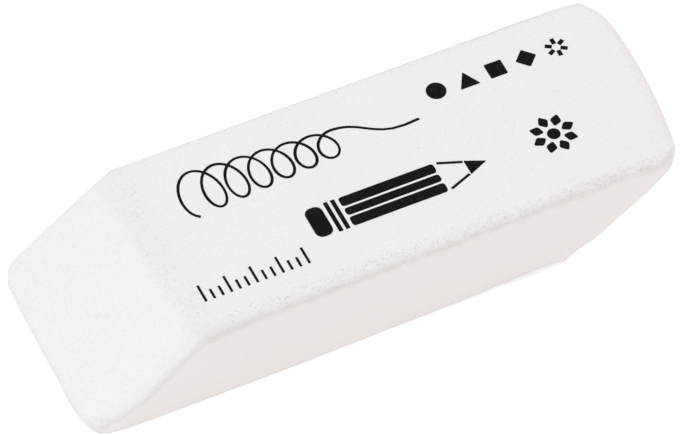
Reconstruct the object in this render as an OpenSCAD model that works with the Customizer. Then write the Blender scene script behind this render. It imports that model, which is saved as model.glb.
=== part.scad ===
// Bevelled block eraser of white vinyl.
// One solid block lying on its broad face. Seen from the long side it is a
// parallelogram: both ends lean the same way, so each end has one thin nose for
// fine work and one blunt shoulder. The ends are slightly bowed and every edge
// is eased. X runs along the block, Y across it, Z up. The origin is the middle
// of the base face.

/* [Block] */
// Overall length from nose to nose
body_l = 60; // [40:0.5:80]
// Width across the block
body_w = 20; // [14:0.5:26]
// Thickness of the block
body_h = 11; // [8:0.5:14]
// How far each slanted end leans over the thickness
end_lean = 12.5; // [8:0.5:16]
// How far the middle of each end stands proud of its corners
end_bow = 0.9; // [0.4:0.1:1.2]

/* [Edges] */
// Radius of the two thin noses
nose_r = 1; // [0.6:0.1:1.6]
// Radius of the two blunt shoulders
shoulder_r = 3; // [1.5:0.1:4]
// Radius of the long edges at the top
top_edge_r = 1.2; // [0.6:0.1:1.6]
// Radius of the long edges at the bottom
bottom_edge_r = 0.6; // [0.4:0.1:1]
// Radius of the four edges that run down the slanted ends
slope_edge_r = 1; // [0.6:0.1:1.6]
// Radius of the nose corners seen from above
nose_corner_r = 2.5; // [1.2:0.1:3.5]

/* [Hidden] */
$fn = 96;
// angle between the slanted end and the base
bevel = atan2(body_h, end_lean);
// what a rounded nose loses against a sharp one, along X
nose_loss = nose_r / tan(bevel / 2) - nose_r;
// radius of the bow seen from above, at the nose
bow_r = (pow(body_w / 2, 2) + pow(end_bow, 2)) / (2 * end_bow);
// radius out to the sharp nose, and the place of the bow's axis
rim_r = bow_r + nose_loss;
axis_x = rim_r - nose_loss - body_l / 2;
// half the length of the sharp block, and the same square to the slant
sharp_half = (body_l - end_lean) / 2 + nose_loss;
square_half = sharp_half * sin(bevel);
// gap that keeps the end planes of the outlines off the bowed ends
ease = 0.03;

// Point at the given distance from p towards q
function toward(p, q, dist) = p + dist * (q - p) / norm(q - p);

// Inner angle at corner p between the neighbours a and b
function corner_angle(a, p, b) =
    acos(((a - p) * (b - p)) / (norm(a - p) * norm(b - p)));

// Centre of the circle of radius r that touches both edges at corner p
function corner_centre(a, p, b, r) =
    let (half = corner_angle(a, p, b) / 2)
    let (u = (a - p) / norm(a - p) + (b - p) / norm(b - p))
    p + u / norm(u) * r / sin(half);

// Polygon with a true arc at each corner whose radius in rad is above zero
module rounded_polygon(pts, rad) {
    n = len(pts);
    polygon([for (i = [0 : n - 1])
        let (a = pts[(i + n - 1) % n], b = pts[(i + 1) % n])
        let (cut = rad[i] / tan(corner_angle(a, pts[i], b) / 2))
        each rad[i] > 0
            ? [toward(pts[i], a, cut), toward(pts[i], b, cut)]
            : [pts[i]]]);
    for (i = [0 : n - 1])
        if (rad[i] > 0)
            translate(corner_centre(pts[(i + n - 1) % n], pts[i], pts[(i + 1) % n], rad[i]))
                circle(r = rad[i]);
}

// Half section of a broad disc whose rim is one slanted end: nose below,
// shoulder above, both rounded
module rim_section() {
    rounded_polygon(
        [[0, 0], [rim_r, 0], [rim_r - end_lean, body_h], [0, body_h]],
        [0, nose_r, shoulder_r, 0]);
}

// The disc that bows the left end
module end_disc() {
    translate([axis_x, 0, 0])
        rotate_extrude($fn = 360)
            rim_section();
}

// End view: rectangle with eased long edges
module cross_profile() {
    w = body_w / 2;
    rounded_polygon(
        [[-w, 0], [w, 0], [w, body_h], [-w, body_h]],
        [bottom_edge_r, bottom_edge_r, top_edge_r, top_edge_r]);
}

// Outline with straight sides and corners eased into a bow of radius bow,
// whose middle lies at half from the centre
module eased_outline(half, bow, corner) {
    w = body_w / 2;
    ox = half + ease - bow;
    // centre of the corner circle that touches the bow and the side
    cy = w - corner;
    cx = ox + sqrt(pow(bow - corner, 2) - cy * cy);
    // slope of the line that touches bow and corner circle, and its two ends
    lean = cy / (cx - ox);
    tip = ox + bow * sqrt(1 + lean * lean);
    side = tip - w * lean;
    rounded_polygon(
        [[-tip, 0], [-side, -w], [side, -w], [tip, 0], [side, w], [-side, w]],
        [0, corner, corner, 0, corner, corner]);
}

// The block is what the bowed ends and the views from the end, from above and
// down the slant have in common
module eraser() {
    color([0.95, 0.94, 0.93])
        intersection() {
            end_disc();
            translate([0, 0, body_h])
                rotate([0, 180, 0])
                    end_disc();
            translate([-body_l, 0, 0])
                rotate([90, 0, 90])
                    linear_extrude(height = 2 * body_l)
                        cross_profile();
            translate([0, 0, -body_h])
                linear_extrude(height = 3 * body_h)
                    eased_outline(body_l / 2, bow_r, nose_corner_r);
            translate([0, 0, body_h / 2])
                rotate([0, 90 - bevel, 0])
                    linear_extrude(height = 2 * body_l, center = true)
                        eased_outline(square_half, bow_r / sin(bevel), slope_edge_r);
        }
}

eraser();
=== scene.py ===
import math

import bmesh
import bpy
from mathutils import Matrix, Vector, noise


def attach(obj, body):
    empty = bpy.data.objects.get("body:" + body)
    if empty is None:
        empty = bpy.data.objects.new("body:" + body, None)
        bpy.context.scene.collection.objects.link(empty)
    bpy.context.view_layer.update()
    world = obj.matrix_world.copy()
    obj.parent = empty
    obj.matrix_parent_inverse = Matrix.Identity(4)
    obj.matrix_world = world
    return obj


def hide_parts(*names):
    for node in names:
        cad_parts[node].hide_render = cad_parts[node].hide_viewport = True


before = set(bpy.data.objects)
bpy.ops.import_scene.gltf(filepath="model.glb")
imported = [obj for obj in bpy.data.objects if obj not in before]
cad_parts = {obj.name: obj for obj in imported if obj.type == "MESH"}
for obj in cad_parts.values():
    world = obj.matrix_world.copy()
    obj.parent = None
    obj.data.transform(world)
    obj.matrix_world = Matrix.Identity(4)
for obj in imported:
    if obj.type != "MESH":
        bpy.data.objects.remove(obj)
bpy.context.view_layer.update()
MM = 0.001

# Sizes of the block, in millimetres, as the solid has them
LENGTH = 60.0
WIDTH = 20.0
HEIGHT = 11.0
LEAN = 12.5
BOW = 0.9
NOSE_R = 1.0
TOP_R = 1.2
SLOPE_R = 1.0
BOTTOM_R = 0.6
BEVEL = math.atan2(HEIGHT, LEAN)
SIN, COS = math.sin(BEVEL), math.cos(BEVEL)
SHARP_HALF = (LENGTH - LEAN) / 2 + NOSE_R / math.tan(BEVEL / 2) - NOSE_R
# from the middle of the block to the plane of each end, square to the slant
END_PLANE = SHARP_HALF * SIN

# Radii of the near edges as use has left them: soft at the thin nose, even
# further up the slant, and still crisp at the foot and the undercut
SOFT_R = 2.6
EVEN_R = 0.6
CRISP_R = 0.3

# Size of the small cells that make up the block's skin, how far wear lets
# the whole skin sink, and where the skin belongs to the near side's edges
CELL = 0.23
SINK = 0.02
NEAR_Y = -7.5

# Brightness of the floor, its glow to the eye, the world and the two lamps
FLOOR_WHITE = 0.86
FLOOR_GLOW = 0.40
WORLD_LIGHT = 0.92
KEY_WATT = 1.0
FILL_WATT = 0.2

# Height in metres of the point in the block's middle that the lamps look at
LAMP_AIM = 0.005

# The photograph's size in pixels, and the camera's sensor in millimetres
PHOTO_W, PHOTO_H = 680, 435
SENSOR = 36

# Screen colours, 0 to 255
TOP_DULL = (243.8, 239.8, 238.9)
TOP_CLEAR = (245.5, 241.5, 240.7)
# a little darker near the slanted ends
TOP_NEAR_ENDS = (236, 231, 230)
# lighter on the slanted ends: painted light
END_FACE_LIT = (245.3, 244.5, 242.6)
# the cut sides, a little darker and warmer: partly the cut's own tone, partly painted shade
CUT_FACE_TONE_AND_SHADE = (242.7, 237.5, 234.6)
MOTTLE = (226, 221.5, 219)
SPECK = (205, 198, 193)
# painted shade on the border between rim and cut
CREASE_SHADE = (206, 200, 195)
INK_FULL = (17, 15, 13)
INK_THIN = (33, 30, 28)

# Heights between which the ink lies on the top, in millimetres
INK_LOW = HEIGHT - 0.06
INK_HIGH = HEIGHT - 0.004


def linear(screen):
    """Screen colour as the linear colour that a shader takes."""
    out = []
    for c in screen:
        c = c / 255
        out.append(c / 12.92 if c <= 0.04045 else ((c + 0.055) / 1.055) ** 2.4)
    return (*out, 1.0)


def smooth_step(start, end, x):
    """Goes from 0 at start to 1 at end, which may be the smaller value."""
    t = min(max((x - start) / (end - start), 0.0), 1.0)
    return t * t * (3 - 2 * t)


def link(obj):
    bpy.context.scene.collection.objects.link(obj)
    return obj


def new_material(name):
    mat = bpy.data.materials.new(name)
    mat.use_nodes = True
    nodes = mat.node_tree.nodes
    nodes.clear()
    out = nodes.new("ShaderNodeOutputMaterial")
    return mat, nodes, mat.node_tree.links, out


# Camera: the photograph's view of the block

def camera_for_photo():
    azimuth, elevation, roll = (math.radians(a) for a in (-28.5, 52.8, 3.2))
    distance = 750.0
    px_per_mm = 11.076
    # where the middle of the block falls in the picture
    middle_x, middle_y = 341.0, 214.5
    centre = Vector((0, 0, HEIGHT / 2))
    back = Vector((math.sin(azimuth) * math.cos(elevation),
                   -math.cos(azimuth) * math.cos(elevation),
                   math.sin(elevation)))
    right = (-back).cross(Vector((0, 0, 1))).normalized()
    down = (-back).cross(right)
    side = right * math.cos(roll) - down * math.sin(roll)
    low = right * math.sin(roll) + down * math.cos(roll)
    off_x = (middle_x - PHOTO_W / 2) / px_per_mm
    off_y = (middle_y - PHOTO_H / 2) / px_per_mm
    place = centre + back * distance - side * off_x - low * off_y
    data = bpy.data.cameras.new("camera")
    data.sensor_width = SENSOR
    data.lens = px_per_mm * distance * SENSOR / PHOTO_W
    data.clip_start = 0.01
    data.clip_end = 10
    cam = link(bpy.data.objects.new("camera", data))
    rot = Matrix((side, -low, back)).transposed().to_4x4()
    cam.matrix_world = Matrix.Translation(place * MM) @ rot
    bpy.context.scene.camera = cam


camera_for_photo()


# The vinyl block

def along_block(x, z):
    """Distance in mm square to the slant from the middle of the block."""
    return x * SIN - (z - HEIGHT / 2) * COS


def end_gap(x, y, z):
    """Distance in mm from the nearer slanted and bowed end."""
    bow = BOW * SIN * (2 * y / WIDTH) ** 2
    return END_PLANE - bow - abs(along_block(x, z))


def edge_gaps(x, y, z):
    """What the wear and the finish follow: the distances in mm to the slanted
    ends, to the nearest edge and into the flat cut of a side face, and the
    strength of the shaded border round that cut."""
    end = end_gap(x, y, z)
    edge = sorted((end, WIDTH / 2 - abs(y), min(z, HEIGHT - z)))[1]
    # over the blunt nose the rim reaches further in, so the dark grains crowd there and
    # darken it
    edge -= smooth_step(26.5, 29.5, x)

    # the cut ends below a rim that climbs along the block and drops at the
    # blunt nose, inside the slant of the left end, and in the side's own skin
    rim = HEIGHT - TOP_R - 0.06 + 0.022 * x - 0.8 * smooth_step(24, 30, x) - z
    # by the blunt nose's front corner the rim rises, which spreads the painted shade of the
    # border over the tip
    rim += 0.6 * smooth_step(27, 29.5, x) * smooth_step(-6.5, -9, y)
    slant = along_block(x, z) + END_PLANE - 1.60
    skin = 4 * (abs(y) - 9.3)
    cut = min(rim, slant, skin)

    # the painted shade of the border is strong along the rim and fainter along the slant
    crease_shade = 0.5 + 0.5 * smooth_step(-0.5, 0.5, slant - rim)
    crease_shade *= smooth_step(8.7, 9.4, abs(y)) * smooth_step(0.5, 1.5, z)

    # the top's tint and grains run a little over the ridge of the left end, so the slant's
    # painted light starts below it
    if x < 0:
        over = 0.75 + 0.9 * smooth_step(3, 10, y)
        end += 0.9 * smooth_step(over + 0.6, over - 0.6, HEIGHT - z)
    return end, edge, cut, crease_shade


def to_corner(c, r, u, w):
    """From a point c inside both planes of a square corner that is rounded to
    radius r, how far its surface lies in the direction (u, w)."""
    if c * (u - w) >= r * u > 0:
        return c / u
    if c * (w - u) >= r * w > 0:
        return c / w
    dot = (c - r) * (u + w)
    return dot + math.sqrt(dot * dot - 2 * (c - r) ** 2 + r * r)


def reroll(v, first, second, old, new):
    """Changes the radius of one edge of the near side face. first and second
    give each plane's outward normal and the point's gap to it in mm."""
    # the rounds are followed from a point a little inside both of them
    c = max(old, new) + 0.2
    a, b = c - first[1], c - second[1]
    if a <= 0 or b <= 0:
        return
    far = math.hypot(a, b)
    u, w = a / far, b / far
    was = to_corner(c, old, u, w)
    # only the skin near the old round moves
    hold = smooth_step(0.35, 0.08, abs(far - was))
    grow = hold * (to_corner(c, new, u, w) - was)
    v.co += (first[0] * u + second[0] * w) * grow * MM


def trim_near_side(v):
    """The near side face is cut crisply at the foot and the undercut, and its
    slanted edge is rubbed rounder towards the thin nose."""
    near = Vector((0, -1, 0))
    base = Vector((0, 0, -1))
    x, y, z = (c / MM for c in v.co)
    slant = Vector((math.copysign(SIN, x), 0, -math.copysign(COS, x)))
    rubbed = EVEN_R + (SOFT_R - EVEN_R) * smooth_step(4.0, 0.3, z)
    reroll(v, (slant, end_gap(x, y, z)), (near, y + WIDTH / 2), SLOPE_R,
           rubbed if x < 0 else CRISP_R)
    x, y, z = (c / MM for c in v.co)
    reroll(v, (base, z), (near, y + WIDTH / 2), BOTTOM_R, CRISP_R)


def wear_vertex(v, cut_gap):
    """Low swells on the broad faces, soft crumbs on the rounded edges and a
    knife cut that leaves each long side face a little behind a ragged lip."""
    at = v.co / MM
    n = v.normal
    move = 0.012 * noise.noise(at * 0.35)
    flat = max(abs(n.z), abs(n.y))
    rounded = smooth_step(0.995, 0.93, flat)
    move += rounded * 0.02 * noise.fractal(at * 1.7, 0.8, 2.0, 3)
    side = smooth_step(9.4, 9.9, abs(at.y))
    if side > 0:
        ragged = 0.16 * noise.noise(at * 1.3 + Vector((7, 3, 1)))
        ragged += 0.10 * noise.noise(at * 3.9)
        depth = cut_gap + ragged
        cut = smooth_step(-0.15, 0.4, depth)
        lip = smooth_step(-0.7, -0.15, depth) * (1 - cut)
        move += side * (0.03 * lip - 0.02 * cut)
    v.co += n * (move - SINK) * MM


def nose_shift(x, y, z):
    """How far in mm use has moved the ends along the block: one nose is rubbed
    flat, the other is blunter and runs a little askew."""
    flat = 0.46 * max(1 - ((y - 1) / 8.5) ** 2, -0.1) - 0.16 * smooth_step(-2.5, -5, y)
    flat += 0.18 * smooth_step(-6.6, -8.4, y) + 0.20 * smooth_step(-8.4, -10, y)
    askew = (0.30 + 0.055 * y) * smooth_step(12, 5, y)
    corners = 0.22 * smooth_step(-8.8, -9.9, y) + 0.48 * smooth_step(7.2, 9.6, y)
    belly = 0.30 * smooth_step(16, 22, x) * smooth_step(3, 7, z) * smooth_step(10.9, 9.2, z)
    foot = 0.14 * smooth_step(8, 16, x) * smooth_step(4.5, 0.8, z)
    heel = 0.14 * smooth_step(15.0, 16.6, x) * smooth_step(0.9, 0.25, z)
    left, right = smooth_step(-16, -29, x), smooth_step(12, 28, x)
    return left * flat + right * (askew - corners) + belly - foot - heel


def side_flare(x, y, z):
    """How far in mm the long sides lean out, mostly at the foot."""
    if y > 0:
        flare = 0.04 * smooth_step(4.5, 0.8, z) + 0.12 * smooth_step(-16, -29, x)
        flare -= 0.10 * smooth_step(25.5, 28.5, x)
    else:
        flare = 0.20 * smooth_step(3, -14, x) * smooth_step(-29, -25, x) - 0.02
        flare *= smooth_step(8, 3, z)
    return flare * smooth_step(8.5, 9.9, abs(y)) * math.copysign(1, y)


def heel_rise(x, y, z):
    """How far in mm the base is rubbed up towards the undercut end."""
    rise = min(0.0275 * (x - 2 + math.hypot(x - 2, 2)), 0.78)
    near = smooth_step(-2, -9.5, y)
    return rise * smooth_step(3.6, 0.3, z) * (0.5 + 0.5 * near)


def end_push(x, y, z):
    """How far in mm the slanted faces move square to the slant: the near edge
    of the left end sags, its far edge and the undercut end swell a little."""
    if x < 0:
        push = 0.65 * smooth_step(-6.0, -9.6, y) * smooth_step(1.0, 4.5, z)
        push -= 0.14 * smooth_step(4.0, 9.0, y) * smooth_step(2.0, 5.0, z)
        push *= smooth_step(10.8, 8.5, z)
    else:
        push = 0.28 * smooth_step(14, 19, x) * smooth_step(-0.5, 3.0, z)
        push *= smooth_step(9.5, 7, z)
    return push * smooth_step(4, 1.5, end_gap(x, y, z))


def remeshed(node):
    """The solid's surface as an even skin of small cells."""
    bm = bmesh.new()
    bm.from_mesh(node.data)
    bmesh.ops.remove_doubles(bm, verts=bm.verts, dist=1e-6)
    form = bpy.data.meshes.new("form")
    bm.to_mesh(form)
    bm.free()
    guide = link(bpy.data.objects.new("form", form))
    shell = link(bpy.data.objects.new("shell", form.copy()))
    cells = shell.modifiers.new("cells", "REMESH")
    cells.mode = "VOXEL"
    cells.voxel_size = CELL * MM
    relax = shell.modifiers.new("relax", "SMOOTH")
    relax.iterations = 3
    relax.factor = 0.5
    seat = shell.modifiers.new("seat", "SHRINKWRAP")
    seat.target = guide
    graph = bpy.context.evaluated_depsgraph_get()
    mesh = bpy.data.meshes.new_from_object(shell.evaluated_get(graph))
    bpy.data.objects.remove(shell)
    bpy.data.objects.remove(guide)
    return mesh


def vinyl_block(node):
    """The block as one skin, which carries its distances from the edges and
    the small changes that use has made."""
    mesh = remeshed(node)
    bm = bmesh.new()
    bm.from_mesh(mesh)
    bm.normal_update()
    names = ("end_gap", "rim_gap", "cut_gap", "crease_shade")
    layers = [bm.verts.layers.float.new(name) for name in names]
    for v in bm.verts:
        x, y, z = (c / MM for c in v.co)
        gaps = edge_gaps(x, y, z)
        for layer, value in zip(layers, gaps):
            v[layer] = value
        if y < NEAR_Y:
            trim_near_side(v)
        wear_vertex(v, gaps[2])
        moved = Vector((nose_shift(x, y, z), side_flare(x, y, z), heel_rise(x, y, z)))
        v.co += moved * MM
        v.co += Vector((SIN, 0, -COS)) * end_push(x, y, z) * MM
    bm.to_mesh(mesh)
    bm.free()
    for p in mesh.polygons:
        p.use_smooth = True
    return link(bpy.data.objects.new("vinyl_block", mesh))


class Graph:
    """A material built from nodes, with one short method for each kind."""

    def __init__(self, name):
        self.mat, self.nodes, self.links, self.out = new_material(name)
        self.shader = self.nodes.new("ShaderNodeBsdfPrincipled")
        self.links.new(self.shader.outputs[0], self.out.inputs[0])
        self.place = self.nodes.new("ShaderNodeTexCoord").outputs["Object"]

    def feed(self, socket, value):
        if isinstance(value, bpy.types.NodeSocket):
            self.links.new(value, socket)
        else:
            socket.default_value = value

    def math(self, how, a, b=0.0):
        node = self.nodes.new("ShaderNodeMath")
        node.operation = how
        for socket, value in zip(node.inputs, (a, b)):
            self.feed(socket, value)
        return node.outputs[0]

    def times(self, a, b):
        return self.math("MULTIPLY", a, b)

    def ramp(self, value, lo, hi, to_lo=0.0, to_hi=1.0):
        node = self.nodes.new("ShaderNodeMapRange")
        node.interpolation_type = "SMOOTHSTEP"
        for socket, v in zip(node.inputs, (value, lo, hi, to_lo, to_hi)):
            self.feed(socket, v)
        return node.outputs[0]

    def noise(self, per_mm, detail=2.0, rough=0.5, shift=0.0):
        node = self.nodes.new("ShaderNodeTexNoise")
        move = self.nodes.new("ShaderNodeMapping")
        move.inputs["Location"].default_value = (shift * MM,) * 3
        self.links.new(self.place, move.inputs["Vector"])
        self.links.new(move.outputs[0], node.inputs["Vector"])
        node.inputs["Scale"].default_value = per_mm / MM
        node.inputs["Detail"].default_value = detail
        node.inputs["Roughness"].default_value = rough
        return node.outputs["Fac"]

    def stored(self, name):
        node = self.nodes.new("ShaderNodeAttribute")
        node.attribute_name = name
        return node.outputs["Fac"]

    def mix(self, factor, a, b):
        node = self.nodes.new("ShaderNodeMix")
        node.data_type = "RGBA"
        self.feed(node.inputs[0], factor)
        self.feed(node.inputs[6], a)
        self.feed(node.inputs[7], b)
        return node.outputs[2]

    def bump(self, height, distance, strength=1.0):
        node = self.nodes.new("ShaderNodeBump")
        node.inputs["Distance"].default_value = distance * MM
        node.inputs["Strength"].default_value = strength
        self.links.new(height, node.inputs["Height"])
        self.links.new(node.outputs[0], self.shader.inputs["Normal"])


def vinyl_material():
    g = Graph("white_vinyl")
    g.shader.inputs["Roughness"].default_value = 0.55
    g.shader.inputs["Specular IOR Level"].default_value = 0.35

    # ragged borders between the moulded rims, the cut sides and the slants
    ragged = g.times(g.math("SUBTRACT", g.noise(0.9, 3, 0.6), 0.5), 0.8)
    crumbs = g.times(g.math("SUBTRACT", g.noise(4.5, 3, 0.7, 5), 0.5), 0.9)
    edge = g.math("ADD", g.stored("cut_gap"), g.math("ADD", ragged, crumbs))
    cut = g.ramp(edge, -0.15, 0.35)
    moulded = g.math("SUBTRACT", 1.0, cut)
    end = g.ramp(g.math("ADD", g.stored("end_gap"), ragged), 0.0, 0.8, 1, 0)
    rim = g.ramp(g.math("ADD", g.stored("rim_gap"), ragged), 0.2, 1.7, 1, 0)
    near_ends = g.ramp(g.stored("end_gap"), 1.0, 3.5, 1, 0)

    # colour: faint clouding, duller by the ridges, and a fine mottle
    cloud = g.ramp(g.noise(0.12, 3), 0.35, 0.65)
    tint = g.mix(cloud, linear(TOP_DULL), linear(TOP_CLEAR))
    # a little darker towards the slanted ends
    tint = g.mix(g.times(near_ends, 0.17), tint, linear(TOP_NEAR_ENDS))
    # the slanted end faces painted lighter: painted light
    tint = g.mix(end, tint, linear(END_FACE_LIT))
    # the cut sides a little darker and warmer: partly the cut's own tone, partly painted
    # shade
    tint = g.mix(cut, tint, linear(CUT_FACE_TONE_AND_SHADE))
    mottle = g.ramp(g.noise(3.0, 4, 0.75, 9), 0.4, 0.72)
    mottle = g.times(mottle, g.ramp(cut, 0, 1, 1.0, 0.6))
    tint = g.mix(g.times(mottle, 0.28), tint, linear(MOTTLE))

    # dark grains, sparse on the faces and crowded on the worn rims
    grains = g.noise(5.5, 3, 0.8, 14)
    low = g.ramp(rim, 0, 1, 0.66, 0.575)
    speck = g.ramp(g.math("SUBTRACT", grains, low), 0.0, 0.08)
    speck = g.times(g.times(speck, moulded), g.ramp(end, 0, 1, 0.46, 0.18))
    speck = g.times(speck, g.ramp(near_ends, 0, 1, 1.0, 0.62))
    tint = g.mix(speck, tint, linear(SPECK))

    # the shaded border between rim and cut, of uneven strength
    crease_shade = g.stored("crease_shade")
    narrow = g.times(edge, g.math("SUBTRACT", 3.0, g.times(crease_shade, 2.0)))
    patchy = g.ramp(g.noise(0.45, 3, 0.7, 21), 0.36, 0.64, 0.19, 0.36)
    shade_grain = g.ramp(g.noise(4.6, 3, 0.8, 30), 0.38, 0.62, 0.4, 1.6)
    core = g.ramp(g.math("ABSOLUTE", narrow), 0.05, 1.15, 1, 0)
    shade = g.times(g.ramp(narrow, -1.5, -0.1, 0, 0.12), moulded)
    line = g.math("MAXIMUM", g.times(core, patchy), shade)
    line = g.times(g.times(line, shade_grain), crease_shade)
    tint = g.mix(line, tint, linear(CREASE_SHADE))
    g.feed(g.shader.inputs["Base Color"], tint)

    # relief: powdery grain, pits, a smoother cut face
    grain = g.times(g.noise(3.6, 4, 0.65), g.ramp(cut, 0, 1, 1.0, 0.3))
    g.bump(g.math("SUBTRACT", grain, g.times(speck, 0.8)), 0.06, 0.8)
    return g.mat


def ink_material():
    g = Graph("black_ink")
    g.shader.inputs["Roughness"].default_value = 0.6
    g.shader.inputs["Specular IOR Level"].default_value = 0.07
    thin = g.ramp(g.noise(2.5, 3, 0.6), 0.50, 0.75)
    tint = g.mix(thin, linear(INK_FULL), linear(INK_THIN))
    g.feed(g.shader.inputs["Base Color"], tint)
    g.bump(g.noise(3.6, 4, 0.65), 0.03, 0.5)
    return g.mat


vinyl = vinyl_material()
block = vinyl_block(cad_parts["eraser"])
block.data.materials.clear()
block.data.materials.append(vinyl)
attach(block, "root")
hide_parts("eraser")


# The print on the top: plain drawn motifs in black ink, all in millimetres

def press(bm):
    """Gives flat ink its thickness."""
    made = bmesh.ops.extrude_face_region(bm, geom=bm.faces[:])
    up = [v for v in made["geom"] if isinstance(v, bmesh.types.BMVert)]
    bmesh.ops.translate(bm, verts=up, vec=(0, 0, INK_HIGH - INK_LOW))
    bmesh.ops.recalc_face_normals(bm, faces=bm.faces[:])


def patch(bm, points, corner=0.0, segments=4):
    """A flat shape from a few points, its corners rounded by corner."""
    verts = [bm.verts.new((px, py, INK_LOW)) for px, py in points]
    bm.faces.new(verts)
    if corner:
        bmesh.ops.bevel(bm, geom=verts, offset=corner, affect="VERTICES",
                        segments=segments, profile=0.5, material=-1)


def bar(bm, x0, y0, x1, y1, corner=0.0, segments=4):
    patch(bm, [(x0, y0), (x1, y0), (x1, y1), (x0, y1)], corner, segments)


def stroke(bm, a, b, width):
    a, b = Vector(a), Vector(b)
    n = (b - a).normalized().orthogonal() * width / 2
    patch(bm, [a - n, b - n, b + n, a + n])


def disc(bm, radius):
    bmesh.ops.create_circle(bm, cap_ends=True, segments=40, radius=radius,
                            matrix=Matrix.Translation((0, 0, INK_LOW)))


def print_piece(name, bm, x, y, turn=0.0):
    """Makes a piece of the motif, placed at x, y and turned by turn degrees."""
    press(bm)
    place = Matrix.Translation((x, y, 0)) @ Matrix.Rotation(math.radians(turn), 4, "Z")
    bmesh.ops.transform(bm, matrix=Matrix.Scale(MM, 4) @ place, verts=bm.verts[:])
    mesh = bpy.data.meshes.new(name)
    bm.to_mesh(mesh)
    bm.free()
    finish_print(link(bpy.data.objects.new(name, mesh)))


def finish_print(obj):
    obj.data.materials.clear()
    obj.data.materials.append(ink)
    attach(obj, "root")


def print_pencil():
    bm = bmesh.new()
    # rubber, two bands, three facets, and the cut tip with its lead
    bar(bm, -8.6, -1.7, -6.9, 1.7, 0.7, 6)
    for band in (-6.55, -5.85):
        bar(bm, band, -1.75, band + 0.42, 1.75)
    for lo, hi in ((-1.7, -0.64), (-0.42, 0.42), (0.64, 1.7)):
        bar(bm, -5.1, lo, 4.4, hi, 0.3, 5)
    for sign in (-1, 1):
        stroke(bm, (4.75, 1.57 * sign), (6.97, 0.74 * sign), 0.26)
    patch(bm, [(7.08, -0.84), (9.0, 0), (7.08, 0.84)], 0.1, 3)
    print_piece("print_pencil", bm, 3.6, -3.6)


def scribble_path():
    """Loops that grow smaller along the block and run out in a wavy tail."""
    turns, steps = 6.5, 12
    points = []
    for i in range(int(turns * steps) + 1):
        t = i / steps
        swing = 2.6 - 0.17 * t
        points.append((-13.5 + 2.3 * t - 1.5 * math.sin(2 * math.pi * t),
                       3.9 - swing * math.cos(2 * math.pi * t)))
    return points + [(3.3, 5.0), (4.9, 3.7), (6.8, 2.9), (9.2, 3.2)]


def print_scribble():
    pen = 0.17
    half = (INK_HIGH - INK_LOW) / 2
    curve = bpy.data.curves.new("print_scribble", "CURVE")
    curve.dimensions = "3D"
    curve.bevel_depth = pen
    curve.bevel_resolution = 2
    curve.use_fill_caps = True
    line = curve.splines.new("NURBS")
    points = scribble_path()
    line.points.add(len(points) - 1)
    for p, (px, py) in zip(line.points, points):
        p.co = (px, py, 0, 1)
    line.use_endpoint_u = True
    line.order_u = 4
    line.resolution_u = 4
    obj = link(bpy.data.objects.new("print_scribble", curve))
    graph = bpy.context.evaluated_depsgraph_get()
    mesh = bpy.data.meshes.new_from_object(obj.evaluated_get(graph))
    bpy.data.objects.remove(obj)
    flatten = Matrix.Diagonal((1, 1, half / pen, 1))
    lift = Matrix.Translation((0, 0, INK_LOW + half))
    mesh.transform(Matrix.Scale(MM, 4) @ lift @ flatten)
    finish_print(link(bpy.data.objects.new("print_scribble", mesh)))


def print_flower():
    bm = bmesh.new()
    disc(bm, 0.62)
    petals = 8
    outline = [(0.85, 0), (1.55, -0.56), (2.3, 0), (1.55, 0.56)]
    for petal in range(petals):
        turn = Matrix.Rotation(math.radians(360 / petals * petal), 2)
        patch(bm, [turn @ Vector(p) for p in outline], 0.22, 5)
    print_piece("print_flower", bm, 19.5, -3.4, 12)


def print_marks():
    """A disc, a triangle, a square, a diamond and a star of separate rays."""
    bm = bmesh.new()
    disc(bm, 0.95)
    patch(bm, [(2.1, -0.85), (4.1, -0.85), (3.1, 0.95)], 0.12, 3)
    bar(bm, 5.2, -0.85, 6.9, 0.85, 0.12, 3)
    patch(bm, [(9.1, -1.05), (10.15, 0), (9.1, 1.05), (8.05, 0)], 0.12, 3)
    star, rays = Vector((12.2, 0)), 6
    for ray in range(rays):
        a = math.radians(360 / rays * ray + 30)
        out = Vector((math.cos(a), math.sin(a)))
        stroke(bm, star + out * 0.40, star + out * 1.05, 0.42)
    print_piece("print_marks", bm, 12.0, 5.4)


def print_scale():
    """A row of ticks, each third one tall."""
    bm = bmesh.new()
    step, width = 0.85, 0.24
    for i in range(13):
        tall = 1.9 if i % 3 == 0 else 1.1
        bar(bm, i * step, 0, i * step + width, tall)
    print_piece("print_scale", bm, -17.2, -7.4)


ink = ink_material()
print_pencil()
print_scribble()
print_flower()
print_marks()
print_scale()


# Floor and light

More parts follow.
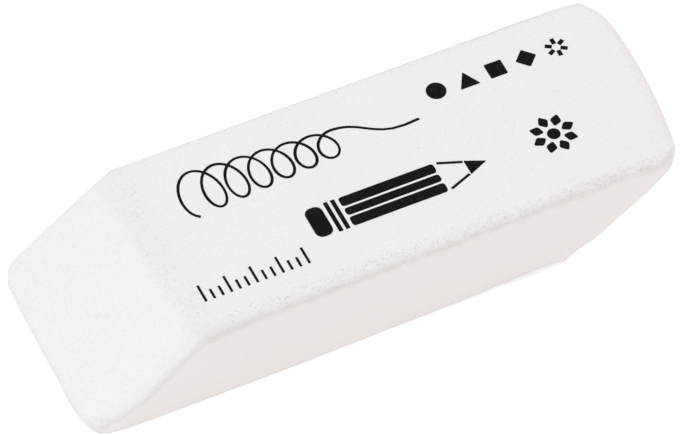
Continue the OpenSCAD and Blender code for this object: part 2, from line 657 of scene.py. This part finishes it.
def pale_floor():
    """A white floor that looks blank to the eye but still takes a shadow."""
    bm = bmesh.new()
    bmesh.ops.create_grid(bm, x_segments=1, y_segments=1, size=1.5)
    mesh = bpy.data.meshes.new("floor")
    bm.to_mesh(mesh)
    bm.free()
    floor = link(bpy.data.objects.new("floor", mesh))
    mat, nodes, links, out = new_material("floor_white")
    paint = nodes.new("ShaderNodeBsdfDiffuse")
    paint.inputs["Color"].default_value = (FLOOR_WHITE,) * 3 + (1,)
    glow = nodes.new("ShaderNodeEmission")
    glow.inputs["Color"].default_value = (1, 1, 1, 1)
    # the glow shows to the eye and in reflections, and lights nothing else
    path = nodes.new("ShaderNodeLightPath")
    seen = path.outputs["Is Camera Ray"]
    for ray in ("Is Glossy Ray", "Is Transmission Ray"):
        either = nodes.new("ShaderNodeMath")
        either.operation = "MAXIMUM"
        links.new(seen, either.inputs[0])
        links.new(path.outputs[ray], either.inputs[1])
        seen = either.outputs[0]
    lift = nodes.new("ShaderNodeMath")
    lift.operation = "MULTIPLY"
    lift.inputs[1].default_value = FLOOR_GLOW
    total = nodes.new("ShaderNodeAddShader")
    links.new(seen, lift.inputs[0])
    links.new(lift.outputs[0], glow.inputs["Strength"])
    links.new(paint.outputs[0], total.inputs[0])
    links.new(glow.outputs[0], total.inputs[1])
    links.new(total.outputs[0], out.inputs[0])
    mesh.materials.append(mat)


def soft_lamp(name, place, size, power):
    """A round lamp at place, in metres, that looks at the block."""
    lamp = bpy.data.lights.new(name, "AREA")
    lamp.shape = "DISK"
    lamp.size = size
    lamp.energy = power
    obj = link(bpy.data.objects.new(name, lamp))
    place = Vector(place)
    aim = Vector((0, 0, LAMP_AIM)) - place
    facing = aim.to_track_quat("-Z", "Y").to_matrix().to_4x4()
    obj.matrix_world = Matrix.Translation(place) @ facing


def studio_light():
    world = bpy.data.worlds.new("studio")
    bpy.context.scene.world = world
    world.use_nodes = True
    back = world.node_tree.nodes["Background"]
    back.inputs["Color"].default_value = (1, 1, 1, 1)
    back.inputs["Strength"].default_value = WORLD_LIGHT
    soft_lamp("key", (-0.60, -0.22, 0.85), 0.5, KEY_WATT)
    soft_lamp("fill", (0.25, -0.95, 0.30), 0.6, FILL_WATT)


pale_floor()
studio_light()
bpy.context.scene.view_settings.view_transform = "Standard"
